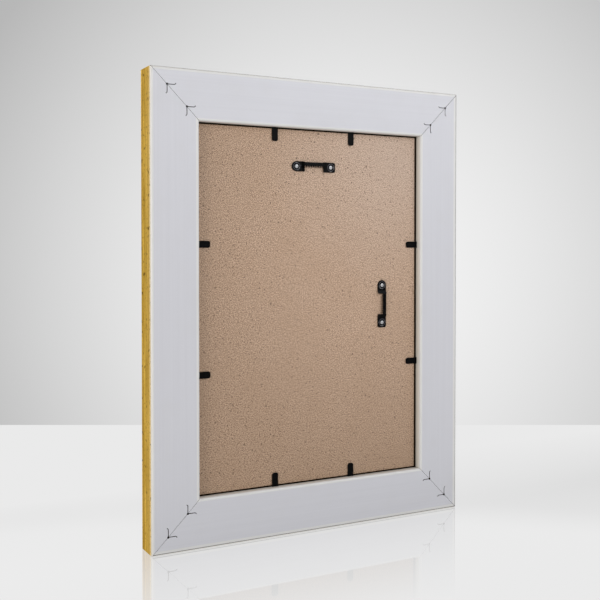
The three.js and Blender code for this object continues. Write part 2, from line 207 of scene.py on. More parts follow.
# Rims of each rail's back: where the foil ends on the outer round, where a painted dark shade line starts
# and ends, in degrees from the rail's side, and how far the paler rim white, a painted highlight, reaches
# onto the flat beside the outer and the inner round
RIMS = {
    "bottom": (10, 58, 70, 1.5 * MM, 0.3 * MM),
    "left": (20, 34, 68, 1.8 * MM, 0.3 * MM),
    "top": (8, 8, 32, 0.5 * MM, 0.3 * MM),
    "right": (8, 8, 11, 0.3 * MM, 1.0 * MM),
}
# Degrees on the outer round: where its warmer white, painted light, ends, where the round ends, and its
# steps
LIT_WARM_EDGE_END = 60
BACK_ROUND_END = 90
BACK_ROUND_STEP = 15

# Camera
CAMERA_PLACE = Vector((0.3838, 0.6969, 0.2416))
CAMERA_AZIMUTH = math.radians(151.806)
CAMERA_TILT = math.radians(-1.119)
CAMERA_LENS = 55.494
CAMERA_SENSOR = 36
PHOTO_PIXELS = 600
CAMERA_SHIFT_PIXELS = -35
CAMERA_SHIFT_UP = CAMERA_SHIFT_PIXELS / PHOTO_PIXELS
CAMERA_NEAR = 0.01

# Floor, from under the camera, with how strongly and how far it mirrors the frame
FLOOR_REACH = 1.251
FLOOR_HALF_WIDTH = 2.5
FLOOR_NEAR = 1.5
FLOOR_TONE = (0.822, 0.822, 0.822, 1)
FLOOR_MIRROR = 0.38
FLOOR_MIRROR_REACH = 0.19
FLOOR_ROUGHNESS = 0.04

# Backdrop
BACKDROP_CENTRE = (-0.5127, -0.858, -0.0292)
BACKDROP_TONES = (
    # cosine of the angle from the backdrop's lightest place, brightness
    (-1.0, 0.1),
    (-0.3, 0.14),
    (0.15, 0.65),
    (0.7, 0.85),
    (0.8, 0.6),
    (0.903, 0.465),
    (0.935, 0.59),
    (0.965, 0.72),
    (0.987, 0.83),
    (1.0, 0.9),
)

# Bright ceiling over the backdrop: the sines of its height, and the cosines of the angle from the
# backdrop's lightest place, between which it grows to its full tone
CEILING_SINES = (0.265, 0.285)
CEILING_COSINES = (0.5, 0.7)
CEILING_TONE = (0.85, 0.85, 0.85, 1)

# Area lights, all aimed at the frame's middle
LIGHTS = (
    # name, place, size, power, colour
    ("key", (-0.5, 0.9, 0.68), 0.8, 5.3, (1.0, 0.99, 0.98)),
    ("top", (-0.45, 0.75, 1.05), 0.7, 2.25, (0.78, 0.86, 1.0)),
    ("left", (1.3, 0.5, 0.32), 0.9, 12.3, (1.0, 0.98, 0.95)),
    ("front", (-0.15, -1.3, 0.8), 0.9, 8.0, (1.0, 1.0, 1.0)),
)


# Places

def axes_at(along, inward, out, origin):
    """Matrix of a local frame with those three axes."""
    matrix = Matrix((along, inward, out)).transposed().to_4x4()
    matrix.translation = origin
    return matrix


def side_frame(side):
    """Rail frame: x along the rail, y in from its outer edge, z from its front; and half its length."""
    inward = INWARD[side]
    along = inward.cross(BACKWARD)
    half_size = (CAD_HIGH - CAD_LOW) / 2
    centre = (CAD_LOW + CAD_HIGH) / 2
    origin = centre - inward * abs(inward.dot(half_size)) - BACKWARD * half_size.y
    return axes_at(along, inward, BACKWARD, origin), abs(along.dot(half_size))


def local_box(node, matrix):
    """Lowest and highest corner of a CAD node, in a frame that is turned by right angles."""
    one, other = (matrix.inverted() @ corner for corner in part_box(node))
    return Vector(map(min, one, other)), Vector(map(max, one, other))


# Outlines

def round_corner(before, corner, after, radius):
    """Points of the round between two straight stretches that meet at a corner."""
    back = (before - corner).normalized()
    on = (after - corner).normalized()
    half = back.angle(on) / 2
    centre = corner + (back + on).normalized() * (radius / math.sin(half))
    start = corner + back * (radius / math.tan(half)) - centre
    end = corner + on * (radius / math.tan(half)) - centre
    return [centre + start.slerp(end, i / ROUND_STEPS) * radius for i in range(ROUND_STEPS + 1)]


def rounded_outline(corners):
    """Closed outline from (x, y, round, tag) corners, as (point, tag of the stretch that starts there).

    A corner's tag may be two: that of its round, and that of the straight stretch after it.
    """
    places = [Vector((x, y)) for x, y, _, _ in corners]
    outline = []
    for i, (_, _, radius, tag) in enumerate(corners):
        on_round, on_straight = tag if isinstance(tag, tuple) else (tag, tag)
        if radius:
            after = places[(i + 1) % len(places)]
            points = round_corner(places[i - 1], places[i], after, radius)
        else:
            points = [places[i]]
        outline += [(point, on_round) for point in points[:-1]] + [(points[-1], on_straight)]
    return outline


def back_round(foil_end, shade_line_start, shade_line_end):
    """Corners of the round from a rail's side to its back, with what covers each stretch."""
    corners = []
    for degrees in sorted({foil_end, shade_line_start, shade_line_end, *range(0, BACK_ROUND_END + 1, BACK_ROUND_STEP)}):
        if degrees < foil_end:
            cover = GOLD
        # Painted shade: a near-black line across the round.
        elif shade_line_start <= degrees < shade_line_end:
            cover = DARK_SHADE
        else:
            # Lighter whites that paint light on the round: the warm one nearer the side, the rim white
            # nearer the back.
            cover = LIT_WALL if degrees < LIT_WARM_EDGE_END else LIT_EDGE
        angle = math.radians(degrees)
        x = BACK_ROUND * (1 - math.cos(angle))
        y = RAIL_DEPTH - BACK_ROUND * (1 - math.sin(angle))
        corners.append((x, y, 0, cover))
    return corners


def rail_section(rims):
    """Section of a rail: x in from the outer edge, y from front to back."""
    foil_end, shade_line_start, shade_line_end, outer_highlight_rim, inner_highlight_rim = rims
    band_end = RAIL_WIDTH - SIGHT_ROUND - SIGHT_BAND
    crown_end = SHOULDER_ROUND + CROWN_WIDTH
    cove_foot = SIGHT_DROP - BAND_STEP
    cove_start = Vector((band_end, cove_foot))
    cove_pull = Vector((crown_end + cove_foot, cove_foot))
    cove_end = Vector((crown_end, 0))
    cove = []
    for i in range(1, COVE_STEPS):
        t = i / COVE_STEPS
        point = cove_start * (1 - t) ** 2 + cove_pull * (2 * t * (1 - t)) + cove_end * t * t
        cove.append((point.x, point.y, 0, GOLD))
    return rounded_outline([
        *back_round(foil_end, shade_line_start, shade_line_end),
        # The paler rim white paints a highlight beside both rounds and on the lip; the wall's lighter warm
        # white paints its light.
        (BACK_ROUND + outer_highlight_rim, RAIL_DEPTH, 0, WHITE),
        (BACK_WIDTH - LIP_ROUND - inner_highlight_rim, RAIL_DEPTH, 0, LIT_EDGE),
        (BACK_WIDTH, RAIL_DEPTH, LIP_ROUND, (LIT_EDGE, LIT_WALL)),
        # Painted shade: the rabbet's wall below the board's back, and its seat, are near-black.
        (BACK_WIDTH, BOARD_DEPTH, 0, DARK_SHADE),
        (BACK_WIDTH, SEAT_DEPTH, SEAT_ROUND, DARK_SHADE),
        (RAIL_WIDTH, SEAT_DEPTH, LIP_EDGE_ROUND, GOLD),
        (RAIL_WIDTH, SIGHT_DROP, SIGHT_ROUND, GOLD),
        (band_end, SIGHT_DROP, STEP_ROUND, GOLD),
        (band_end, cove_foot, STEP_ROUND, GOLD),
        *cove,
        (crown_end, 0, CROWN_ROUND, GOLD),
        (0, 0, SHOULDER_ROUND, GOLD),
    ])


def ribbon(path, half_width, lengthen):
    """Outline of a strip of even width along a path, made longer by the same amount at both ends."""
    points = [Vector(point) for point in path]
    points[0] += (points[0] - points[1]).normalized() * lengthen
    points[-1] += (points[-1] - points[-2]).normalized() * lengthen
    left = []
    right = []
    for i, point in enumerate(points):
        before = (point - points[i - 1]).normalized() if i else None
        after = (points[i + 1] - point).normalized() if i + 1 < len(points) else before
        before = before or after
        along = (before + after).normalized()
        offset = Vector((-along.y, along.x)) * (half_width / along.dot(before))
        left.append(point + offset)
        right.append(point - offset)
    return left + right[::-1]


def nail_path():
    """V-nail from behind: corner at the origin, one arm along +x, one along +y, ends flared outwards."""
    arm = []
    for i in range(FLARE_STEPS + 1):
        angle = NAIL_FLARE_ANGLE * i / FLARE_STEPS
        along = NAIL_ARM + NAIL_FLARE_RADIUS * math.sin(angle)
        arm.append((along, -NAIL_FLARE_RADIUS * (1 - math.cos(angle))))
    other_arm = [(outward, along) for along, outward in reversed(arm)]
    return other_arm + [(0, 0)] + arm


def circle(radius, sides, centre=(0, 0)):
    x, y = centre
    angles = [2 * math.pi * i / sides for i in range(sides)]
    return [Vector((x + radius * math.cos(a), y + radius * math.sin(a))) for a in angles]


# Meshes

def add_prism(bm, outline, low, high):
    """Adds a closed prism on an outline between two heights."""
    floor = [bm.verts.new((x, y, low)) for x, y in outline]
    roof = [bm.verts.new((x, y, high)) for x, y in outline]
    faces = [bm.faces.new(floor[::-1]), bm.faces.new(roof)]
    count = len(outline)
    for i in range(count):
        j = (i + 1) % count
        faces.append(bm.faces.new((floor[i], floor[j], roof[j], roof[i])))
    bmesh.ops.recalc_face_normals(bm, faces=faces)


def add_lathe(bm, profile, sides):
    """Adds a closed body turned about z from (radius, height) points that start and end on the axis."""
    rings = []
    for radius, height in profile:
        if radius == 0:
            rings.append([bm.verts.new((0, 0, height))])
        else:
            rings.append([bm.verts.new((p.x, p.y, height)) for p in circle(radius, sides)])
    faces = []
    for one, other in zip(rings, rings[1:]):
        for i in range(sides):
            j = (i + 1) % sides
            ring = [one[i % len(one)], one[j % len(one)], other[j % len(other)], other[i % len(other)]]
            faces.append(bm.faces.new(list(dict.fromkeys(ring))))
    bmesh.ops.recalc_face_normals(bm, faces=faces)


def add_ring(bm, radius, half_width, height, base, centre):
    """Adds a rounded collar: a closed ring of oval section whose lower half is sunk below a height."""
    loops = []
    for point in circle(1, LATHE_SIDES):
        loop = []
        for section in circle(1, COLLAR_SIDES):
            reach = radius + half_width * section.x
            x = centre[0] + point.x * reach
            y = centre[1] + point.y * reach
            loop.append(bm.verts.new((x, y, base + height * section.y)))
        loops.append(loop)
    faces = []
    for i, loop in enumerate(loops):
        following = loops[(i + 1) % LATHE_SIDES]
        for j in range(COLLAR_SIDES):
            k = (j + 1) % COLLAR_SIDES
            faces.append(bm.faces.new((loop[j], loop[k], following[k], following[j])))
    bmesh.ops.recalc_face_normals(bm, faces=faces)


def ease_edges(bm, width, chosen, steps=3):
    """Rounds the chosen edges."""
    edges = [edge for edge in bm.edges if chosen(edge)]
    bmesh.ops.bevel(bm, geom=edges, offset=width, segments=steps, profile=0.5,
                    affect="EDGES", clamp_overlap=True)


def is_crisp(edge):
    return edge.is_manifold and edge.calc_face_angle() > CRISP_ANGLE


def slab(low, high, edge):
    """Flat sheet between two corners, with eased edges."""
    bm = bmesh.new()
    outline = [(low.x, low.y), (high.x, low.y), (high.x, high.y), (low.x, high.y)]
    add_prism(bm, outline, low.z, high.z)
    ease_edges(bm, edge, is_crisp)
    return bm


def rail_mesh(half_length, rims):
    """Rail along x, both ends mitred, with the mitre's edges eased a little."""
    section = rail_section(rims)
    points = [point for point, _ in section]
    count = len(points)
    setback = MITRE_GAP / math.sqrt(2)
    bm = bmesh.new()
    rings = []
    for end, eased in ((-1, True), (-1, False), (1, False), (1, True)):
        ring = []
        for i, point in enumerate(points):
            tangent = (points[(i + 1) % count] - points[i - 1]).normalized()
            outwards = Vector((-tangent.y, tangent.x))
            place = point - outwards * MITRE_EASE if eased else point
            reach = half_length - place.x - setback - (0 if eased else MITRE_EASE)
            ring.append(bm.verts.new((end * reach, place.x, place.y)))
        rings.append(ring)
    for one, other in zip(rings, rings[1:]):
        for i in range(count):
            j = (i + 1) % count
            face = bm.faces.new((one[i], one[j], other[j], other[i]))
            face.material_index = section[i][1]
    # The mitre ends get the near-black painted shade as well.
    for cut_end in (rings[0], rings[-1][::-1]):
        bm.faces.new(cut_end).material_index = DARK_SHADE
    bmesh.ops.recalc_face_normals(bm, faces=bm.faces)
    return bm


def nail_mesh():
    bm = bmesh.new()
    top = RAIL_DEPTH - NAIL_SINK
    add_prism(bm, ribbon(nail_path(), NAIL_THICKNESS / 2, 0), top - NAIL_HEIGHT, top)
    ease_edges(bm, NAIL_EDGE, is_crisp, steps=2)
    return bm


def add_nail_slot(bm, x, y, turned):
    """Adds the cutter of one V-nail's slot."""
    turn = Matrix.Rotation(math.pi / 2 if turned else 0, 2)
    place = Vector((x, y))
    slot = ribbon(nail_path(), NAIL_THICKNESS / 2 + NAIL_SLOT_PLAY, NAIL_SLOT_PLAY)
    outline = [turn @ point + place for point in slot]
    add_prism(bm, outline, RAIL_DEPTH - NAIL_SLOT_DEPTH, RAIL_DEPTH + CUT_PAST)


def shank_outline(width, embed, margin, reach):
    """Pointed tab shank along -y from y = reach, grown all round by a margin."""
    half = width / 2 + margin
    shoulder = TAB_TIP - embed
    corners = [(-half, reach), (-half, shoulder), (0, -embed - margin), (half, shoulder), (half, reach)]
    return [Vector(corner) for corner in corners]


def hanger_outline(length, width):
    """Hanger from behind: round foot at -x, square foot at +x, toothed bar along the +y edge."""
    end_x = length / 2
    half = width / 2
    foot_x = end_x - HANGER_FOOT
    bar_top = half - HANGER_BAR_INSET
    bar_y = bar_top - HANGER_BAR_WIDTH
    corners = [
        (-end_x, half, half * HANGER_HALF_CIRCLE, None),
        (-end_x, -half, half * HANGER_HALF_CIRCLE, None),
        (-foot_x, -half, HANGER_FOOT_ROUND, None),
        (-foot_x, bar_y, HANGER_FOOT_ROUND, None),
    ]
    tooth_half = (TOOTH_PITCH - TOOTH_GULLET) / 2
    for i in range(TOOTH_COUNT):
        tooth_x = (i - (TOOTH_COUNT - 1) / 2) * TOOTH_PITCH
        corners.append((tooth_x - tooth_half, bar_y, 0, None))
        corners.append((tooth_x, bar_y - TOOTH_HEIGHT, 0, None))
        corners.append((tooth_x + tooth_half, bar_y, 0, None))
    corners += [
        (foot_x, bar_y, HANGER_FOOT_ROUND, None),
        (foot_x, -half, HANGER_FOOT_ROUND, None),
        (end_x, -half, HANGER_SQUARE_ROUND, None),
        (end_x, half, HANGER_SQUARE_ROUND, None),
        (foot_x, half, HANGER_NOTCH_ROUND, None),
        (foot_x, bar_top, HANGER_NOTCH_ROUND, None),
        (-foot_x, bar_top, HANGER_NOTCH_ROUND, None),
        (-foot_x, half, HANGER_NOTCH_ROUND, None),
    ]
    return [point for point, _ in rounded_outline(corners)]


def hanger_riser(length):
    """Where a riser starts, measured from the hanger's middle, and how far it runs inwards."""
    start = length / 2 - HANGER_FOOT + HANGER_RISER_RUN + HANGER_BEND_REACH
    run = HANGER_RISER_RUN + 2 * HANGER_BEND_REACH
    return start, run


def hanger_bend(x, length):
    """Height of the sheet's middle over its foot, and its slope, at a place along the hanger."""
    start, run = hanger_riser(length)
    share = min(max((start - abs(x)) / run, 0), 1)
    height = HANGER_RISE * (1 - math.cos(math.pi * share)) / 2
    slope = HANGER_RISE * math.pi / 2 * math.sin(math.pi * share) / run
    return height, -math.copysign(slope, x)


def hanger_mesh(length, width):
    """Stamped sheet with both feet flat, sloping risers and a raised toothed bar."""
    bm = bmesh.new()
    bm.faces.new([bm.verts.new((x, y, 0)) for x, y in hanger_outline(length, width)])
    start, run = hanger_riser(length)
    for side in (-1, 1):
        for i in range(HANGER_BEND_STEPS + 1):
            cut = Vector((side * (start - run * i / HANGER_BEND_STEPS), 0, 0))
            everything = bm.verts[:] + bm.edges[:] + bm.faces[:]
            bmesh.ops.bisect_plane(bm, geom=everything, plane_co=cut, plane_no=(1, 0, 0), dist=SAME_CUT)
    grown = bmesh.ops.extrude_face_region(bm, geom=bm.faces[:])
    tops = {item for item in grown["geom"] if isinstance(item, bmesh.types.BMVert)}
    for vert in bm.verts:
        height, slope = hanger_bend(vert.co.x, length)
        normal = Vector((-slope, 0, 1)).normalized()
        side = 1 if vert in tops else -1
        middle = Vector((vert.co.x, vert.co.y, HANGER_SHEET / 2 + height))
        vert.co = middle + normal * (side * HANGER_SHEET / 2)
    bmesh.ops.recalc_face_normals(bm, faces=bm.faces)
    ease_edges(bm, HANGER_EDGE, is_crisp, steps=2)
    return bm


def rivet_mesh(board_thickness):
    """Rivet along z with the board's back at z = 0: domed head with a dimple, shank, spread end."""
    head = HANGER_SEAT_GAP + HANGER_SHEET + RIVET_SEAT_GAP
    crown = head + RIVET_HEAD_HEIGHT
    end = -board_thickness
    profile = [
        (0, crown - RIVET_DIMPLE_DEPTH),
        (RIVET_DIMPLE_FLOOR_RADIUS, crown - RIVET_DIMPLE_FLOOR_DEPTH),
    ]
    dimple_angle = math.asin(RIVET_DIMPLE_RADIUS / RIVET_HEAD_RADIUS)
    for i in range(2 * ROUND_STEPS + 1):
        angle = dimple_angle + (math.pi / 2 - dimple_angle) * i / (2 * ROUND_STEPS)
        height = head + RIVET_HEAD_HEIGHT * math.cos(angle)
        profile.append((RIVET_HEAD_RADIUS * math.sin(angle), height))
    profile += [
        (RIVET_SHANK_RADIUS, head),
        (RIVET_SHANK_RADIUS, end + RIVET_CLINCH_HEIGHT),
        (RIVET_CLINCH_RADIUS, end + RIVET_CLINCH_HEIGHT),
        (RIVET_CLINCH_RADIUS, end),
        (0, end),
    ]
    bm = bmesh.new()
    add_lathe(bm, profile, LATHE_SIDES)
    return bm


# Materials

def even(scale):
    return (scale, scale, scale)


class NodeTree:
    """Adds nodes to a node tree and links them."""

    def __init__(self, tree):
        self.nodes = tree.nodes
        self.links = tree.links

    def node(self, kind, inputs=None, **settings):
        """Adds a node; an input is a value, or another node's output to link."""
        node = self.nodes.new(kind)
        for key, value in settings.items():
            setattr(node, key, value)
        for key, value in (inputs or {}).items():
            if isinstance(value, bpy.types.NodeSocket):
                self.links.new(value, node.inputs[key])
            else:
                node.inputs[key].default_value = value
        return node

    def spread(self, value, low, high, to_low=0.0, to_high=1.0):
        """Stretches a value's range from low..high to another, clamped."""
        inputs = {"Value": value, "From Min": low, "From Max": high, "To Min": to_low, "To Max": to_high}
        return self.node("ShaderNodeMapRange", inputs).outputs["Result"]

    def mix(self, share, one, other, blend="MIX"):
        """Mixes two colours; a mix node's colour inputs are sockets 6 and 7, its colour output is 2."""
        inputs = {0: share, 6: one, 7: other}
        return self.node("ShaderNodeMix", inputs, data_type="RGBA", blend_type=blend).outputs[2]

    def combine(self, operation, one, other):
        return self.node("ShaderNodeMath", {0: one, 1: other}, operation=operation).outputs[0]

    def axis(self, vector, letter):
        return self.node("ShaderNodeSeparateXYZ", {0: vector}).outputs[letter]


class Surface(NodeTree):
    """A material built from nodes round one principled shader."""

    def __init__(self, name, **constants):
        self.material = bpy.data.materials.new(name)
        self.material.use_nodes = True
        super().__init__(self.material.node_tree)
        self.shader = self.nodes["Principled BSDF"]
        for socket, value in constants.items():
            self.shader.inputs[socket.replace("_", " ")].default_value = value

    def place(self, scale):
        """The object's own coordinates, multiplied by a scale for each axis."""
        coordinates = self.node("ShaderNodeTexCoord").outputs["Object"]
        return self.node("ShaderNodeMapping", {"Vector": coordinates, "Scale": scale}).outputs["Vector"]

    def distance(self, place):
        """How far each point of the object is from a place, in the object's own coordinates."""
        inputs = {0: self.place(even(1)), 1: place}
        return self.node("ShaderNodeVectorMath", inputs, operation="DISTANCE").outputs["Value"]

    def noise(self, scale, detail=3.0, roughness=0.55, distortion=0.0):
        inputs = {
            "Vector": self.place(scale),
            "Scale": 1.0,
            "Detail": detail,
            "Roughness": roughness,
            "Distortion": distortion,
        }
        return self.node("ShaderNodeTexNoise", inputs).outputs["Fac"]

    def set(self, socket, value):
        self.links.new(value, self.shader.inputs[socket])

    def bump(self, height, strength, distance):
        node = self.node("ShaderNodeBump", {"Height": height, "Strength": strength, "Distance": distance})
        self.set("Normal", node.outputs["Normal"])


def white_plastic(name, low, high, soil):
    """Satin white moulding: faint lines along the extrusion, soft mottling, a fine grain, and painted
    shade deep in the rabbet, darker brown towards the board."""
    surface = Surface(name, IOR=1.5)
    lines = surface.noise((6, 700, 700), detail=1)
    mottle = surface.noise(even(45), detail=4)
    grain = surface.noise(even(2600), detail=2)
    tone = surface.mix(surface.spread(lines, 0.3, 0.7), low, high)
    soiled = surface.mix(surface.spread(mottle, 0.5, 0.8, 0, 0.35), tone, soil)
    # Painted shade: darker brown deep in the rabbet, fading out a little above the board's back.
    depth = surface.axis(surface.place(even(1)), "Z")
    recess_shade = surface.spread(depth, BOARD_DEPTH, BOARD_DEPTH + RECESS_SHADE_REACH, 0.55, 0)
    surface.set("Base Color", surface.mix(recess_shade, soiled, (0.3, 0.26, 0.2, 1)))
    surface.set("Roughness", surface.spread(mottle, 0.25, 0.75, 0.36, 0.48))
    faint_lines = surface.combine("MULTIPLY", lines, 0.3)
    faint_grain = surface.combine("MULTIPLY", grain, 0.7)
    surface.bump(surface.combine("ADD", faint_lines, faint_grain), 0.08, 0.05 * MM)
    return surface.material


def gold_foil():
    """Hot-stamped gold foil: streaks along the rail, lighter and then pale towards the back as painted
    light and highlight, rubbed bands and specks.
    """
    surface = Surface("gold_foil", Metallic=0.9, Specular_Tint=(0.9, 0.68, 0.36, 1))
    streaks = surface.noise((14, 300, 300), detail=4, roughness=0.6)
    bands = surface.noise((2, 110, 190), detail=2)
    crackle = surface.noise(even(420), detail=3, roughness=0.7, distortion=0.4)
    specks = surface.noise(even(190), detail=1)
    depth = surface.axis(surface.place(even(1)), "Z")
    base = surface.mix(surface.spread(streaks, 0.4, 0.6), (0.42, 0.26, 0.035, 1), (0.84, 0.58, 0.13, 1))
    # Painted light: lighter towards the back, then a pale painted highlight near the back's round.
    lit = surface.mix(surface.spread(depth, *FOIL_LIT, 0, 0.6), base, (0.86, 0.64, 0.22, 1))
    banded = surface.mix(surface.spread(bands, 0.42, 0.62, 0, 0.5), lit, (0.44, 0.27, 0.055, 1))
    pale = surface.mix(surface.spread(depth, *FOIL_HIGHLIGHT, 0, 0.8), banded, (0.98, 0.82, 0.47, 1))
    rubbed = surface.mix(surface.spread(crackle, 0.54, 0.66, 0, 0.8), pale, (0.3, 0.17, 0.03, 1))
    specked = surface.mix(surface.spread(specks, 0.66, 0.71, 0, 0.9), rubbed, (0.12, 0.07, 0.02, 1))
    surface.set("Base Color", specked)
    surface.set("Roughness", surface.spread(streaks, 0.2, 0.8, 0.28, 0.5))
    surface.bump(surface.combine("ADD", streaks, crackle), 0.2, 0.06 * MM)
    return surface.material


def fibre_board():
    """Pressed wood fibre: fine grain, soft clouds of tone, dark flecks and pale fibres, with painted light:
    darker away from one place, and a paler painted sheen round another.

    All but the clouds have no scale through the board, so its face shows one flat slice of each noise.
    """
    surface = Surface("fibre_board", IOR=1.45)
    clouds = surface.noise(even(28), detail=3)
    grain = surface.noise((1360, 1360, 0), detail=0)
    fibres = surface.noise((900, 820, 0), detail=0)
    flecks = surface.noise((700, 620, 0), detail=1, distortion=0.6)
    pale = surface.noise((1400, 1300, 0), detail=0)
    from_light = surface.distance(BOARD_LIGHT_CENTRE)
    from_sheen = surface.distance(BOARD_SHEEN)
    grained = surface.spread(grain, 0.35, 0.65)
    base = surface.mix(grained, (0.245, 0.149, 0.088, 1), (0.695, 0.494, 0.358, 1))
    cloudy = surface.mix(surface.spread(clouds, 0.35, 0.7, 0, 0.2), base, (0.4, 0.255, 0.155, 1))
    fibrous = surface.mix(surface.spread(fibres, 0.52, 0.72, 0, 0.4), cloudy, (0.3, 0.185, 0.11, 1))
    lit = surface.mix(surface.spread(pale, 0.6, 0.7, 0, 0.35), fibrous, (0.7, 0.52, 0.4, 1))
    # Painted light: darker away from one place on the board, and a paler painted sheen round another.
    light_falloff = surface.mix(surface.spread(from_light, 0.06, 0.19), lit, (0.815, 0.8, 0.765, 1), "MULTIPLY")
    painted_sheen = surface.mix(surface.spread(from_sheen, 0.03, 0.15, 0.21, 0), light_falloff, (0.66, 0.585, 0.54, 1))
    flecked = surface.mix(surface.spread(flecks, 0.645, 0.7, 0, 0.8), painted_sheen, (0.09, 0.05, 0.03, 1))
    surface.set("Base Color", flecked)
    surface.set("Roughness", surface.spread(grain, 0.2, 0.8, 0.5, 0.68))
    surface.bump(surface.combine("ADD", grain, fibres), 0.12, 0.12 * MM)
    return surface.material


def black_coating(name, roughness_low, roughness_high, wear_and_highlight=0.006, gloss=0.05):
    """Black coated sheet steel with a fine orange-peel skin and worn, slightly greyer patches; made pale
    grey, the patches also paint a highlight.
    """
    surface = Surface(name, IOR=1.5, Specular_IOR_Level=gloss)
    skin = surface.noise(even(3200), detail=2)
    wear = surface.noise(even(420), detail=4)
    whole = (wear_and_highlight * 0.1, wear_and_highlight * 0.1, wear_and_highlight * 0.12, 1)
    bare = (wear_and_highlight, wear_and_highlight * 0.97, wear_and_highlight, 1)
    surface.set("Base Color", surface.mix(surface.spread(wear, 0.45, 0.75), whole, bare))
    surface.set("Roughness", surface.spread(wear, 0.3, 0.7, roughness_low, roughness_high))
    surface.bump(skin, 0.15, 0.04 * MM)
    return surface.material


def painted_shade():
    """Near-black brown, painted shade: in the rabbet's gap, the slots, punch marks, mitre ends and a line
    on the back's round.
    """
    surface = Surface("painted_shade", Specular_IOR_Level=0.0)
    grain = surface.noise(even(900), detail=3)
    surface.set("Base Color", surface.mix(grain, (0.02, 0.013, 0.008, 1), (0.05, 0.034, 0.022, 1)))
    surface.set("Roughness", surface.spread(grain, 0.3, 0.7, 0.7, 0.9))
    return surface.material


def nail_steel():
    """Dull steel strip, drawn lengthwise."""
    surface = Surface("nail_steel", Metallic=1.0)
    drawn = surface.noise((900, 900, 160), detail=3)
    surface.set("Base Color", surface.mix(drawn, (0.05, 0.05, 0.055, 1), (0.16, 0.16, 0.17, 1)))
    surface.set("Roughness", surface.spread(drawn, 0.3, 0.7, 0.35, 0.55))
    surface.bump(drawn, 0.2, 0.03 * MM)
    return surface.material


def rivet_metal():
    """Bright pressed aluminium with small dents from setting."""
    surface = Surface("rivet_metal", Metallic=1.0)
    dents = surface.noise(even(1500), detail=3)
    surface.set("Base Color", surface.mix(dents, (0.47, 0.47, 0.48, 1), (0.62, 0.62, 0.63, 1)))
    surface.set("Roughness", surface.spread(dents, 0.3, 0.7, 0.4, 0.55))
    surface.bump(dents, 0.25, 0.06 * MM)
    return surface.material


def clear_pane():
    """Float glass with a faint green body and a few dusty patches."""
    surface = Surface("clear_pane", Transmission_Weight=1.0, IOR=1.5, Base_Color=(0.965, 0.985, 0.975, 1))
    dust = surface.noise(even(60), detail=5)
    surface.set("Roughness", surface.spread(dust, 0.5, 0.8, 0.0, 0.05))
    return surface.material


def blank_paper():
    """Matt off-white insert with a fine fibre tooth."""
    surface = Surface("blank_paper", IOR=1.4)
    tooth = surface.noise(even(1900), detail=4)
    cloud = surface.noise(even(22), detail=3)
    base = surface.mix(surface.spread(tooth, 0.3, 0.7), (0.8, 0.785, 0.75, 1), (0.87, 0.86, 0.83, 1))
    clouded = surface.mix(surface.spread(cloud, 0.45, 0.75, 0, 0.3), base, (0.79, 0.77, 0.73, 1))
    surface.set("Base Color", clouded)
    surface.set("Roughness", surface.spread(tooth, 0.2, 0.8, 0.75, 0.9))
    surface.bump(tooth, 0.2, 0.04 * MM)
    return surface.material


# Pieces

def make_object(name, bm, matrix, materials):
    mesh = bpy.data.meshes.new(name)
    bm.to_mesh(mesh)
    bm.free()
    for material in materials:
        mesh.materials.append(material)
    piece = bpy.data.objects.new(name, mesh)
    bpy.context.scene.collection.objects.link(piece)
    piece.matrix_world = matrix
    return piece


def work(piece, tool_mesh, operation, material):
    """Cuts a tool's shape out of a piece, or joins it on; the tool is in the piece's own frame."""
    tool = make_object("tool", tool_mesh, piece.matrix_world, (material,))
    modifier = piece.modifiers.new("work", "BOOLEAN")
    modifier.material_mode = "TRANSFER"
    modifier.operation = operation
    modifier.solver = "EXACT"
    modifier.object = tool
    bpy.context.view_layer.update()
    worked = bpy.data.meshes.new_from_object(piece.evaluated_get(bpy.context.evaluated_depsgraph_get()))
    piece.modifiers.remove(modifier)
    plain = piece.data
    piece.data = worked
    bpy.data.meshes.remove(plain)
    tool_data = tool.data
    bpy.data.objects.remove(tool)
    bpy.data.meshes.remove(tool_data)


def finish_piece(piece, body, slot, *nodes):
    """Shades a piece smooth between its crisp edges and ties it to the model."""
    bm = bmesh.new()
    bm.from_mesh(piece.data)
    for face in bm.faces:
        face.smooth = True
    for edge in bm.edges:
        edge.smooth = not is_crisp(edge)
    bm.to_mesh(piece.data)
    bm.free()
    normals = piece.modifiers.new("normals", "WEIGHTED_NORMAL")
    normals.keep_sharp = True
    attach(piece, body)
    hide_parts(*nodes)


def slot_cutter(side, matrix, half_length):
    """Cutter of a rail's slots for its half of the V-nails and for its two tab shanks."""
    cutter = bmesh.new()
    for inset in NAIL_INSETS.values():
        add_nail_slot(cutter, inset - half_length, inset, False)
        add_nail_slot(cutter, half_length - inset, inset, True)
    for end in TABS[side]:
        low, high = local_box(f"{side}_tab_shank_{end}", matrix)
        shank = shank_outline(high.x - low.x, high.y - low.y, TAB_SLOT_PLAY, CUT_PAST)
        place = Vector(((low.x + high.x) / 2, high.y))
        outline = [point + place for point in shank]
        add_prism(cutter, outline, low.z - TAB_SLOT_PLAY, high.z + TAB_SLOT_PLAY)
    return cutter


def punch_cutter(half_length):
    """Cutter of the round marks that the punch left at the nails' corners."""
    cutter = bmesh.new()
    for inset in NAIL_INSETS.values():
        for end in (-1, 1):
            mark = circle(PUNCH_RADIUS, PUNCH_SIDES, (end * (half_length - inset), inset))
            add_prism(cutter, mark, RAIL_DEPTH - PUNCH_DEPTH, RAIL_DEPTH + CUT_PAST)
    return cutter


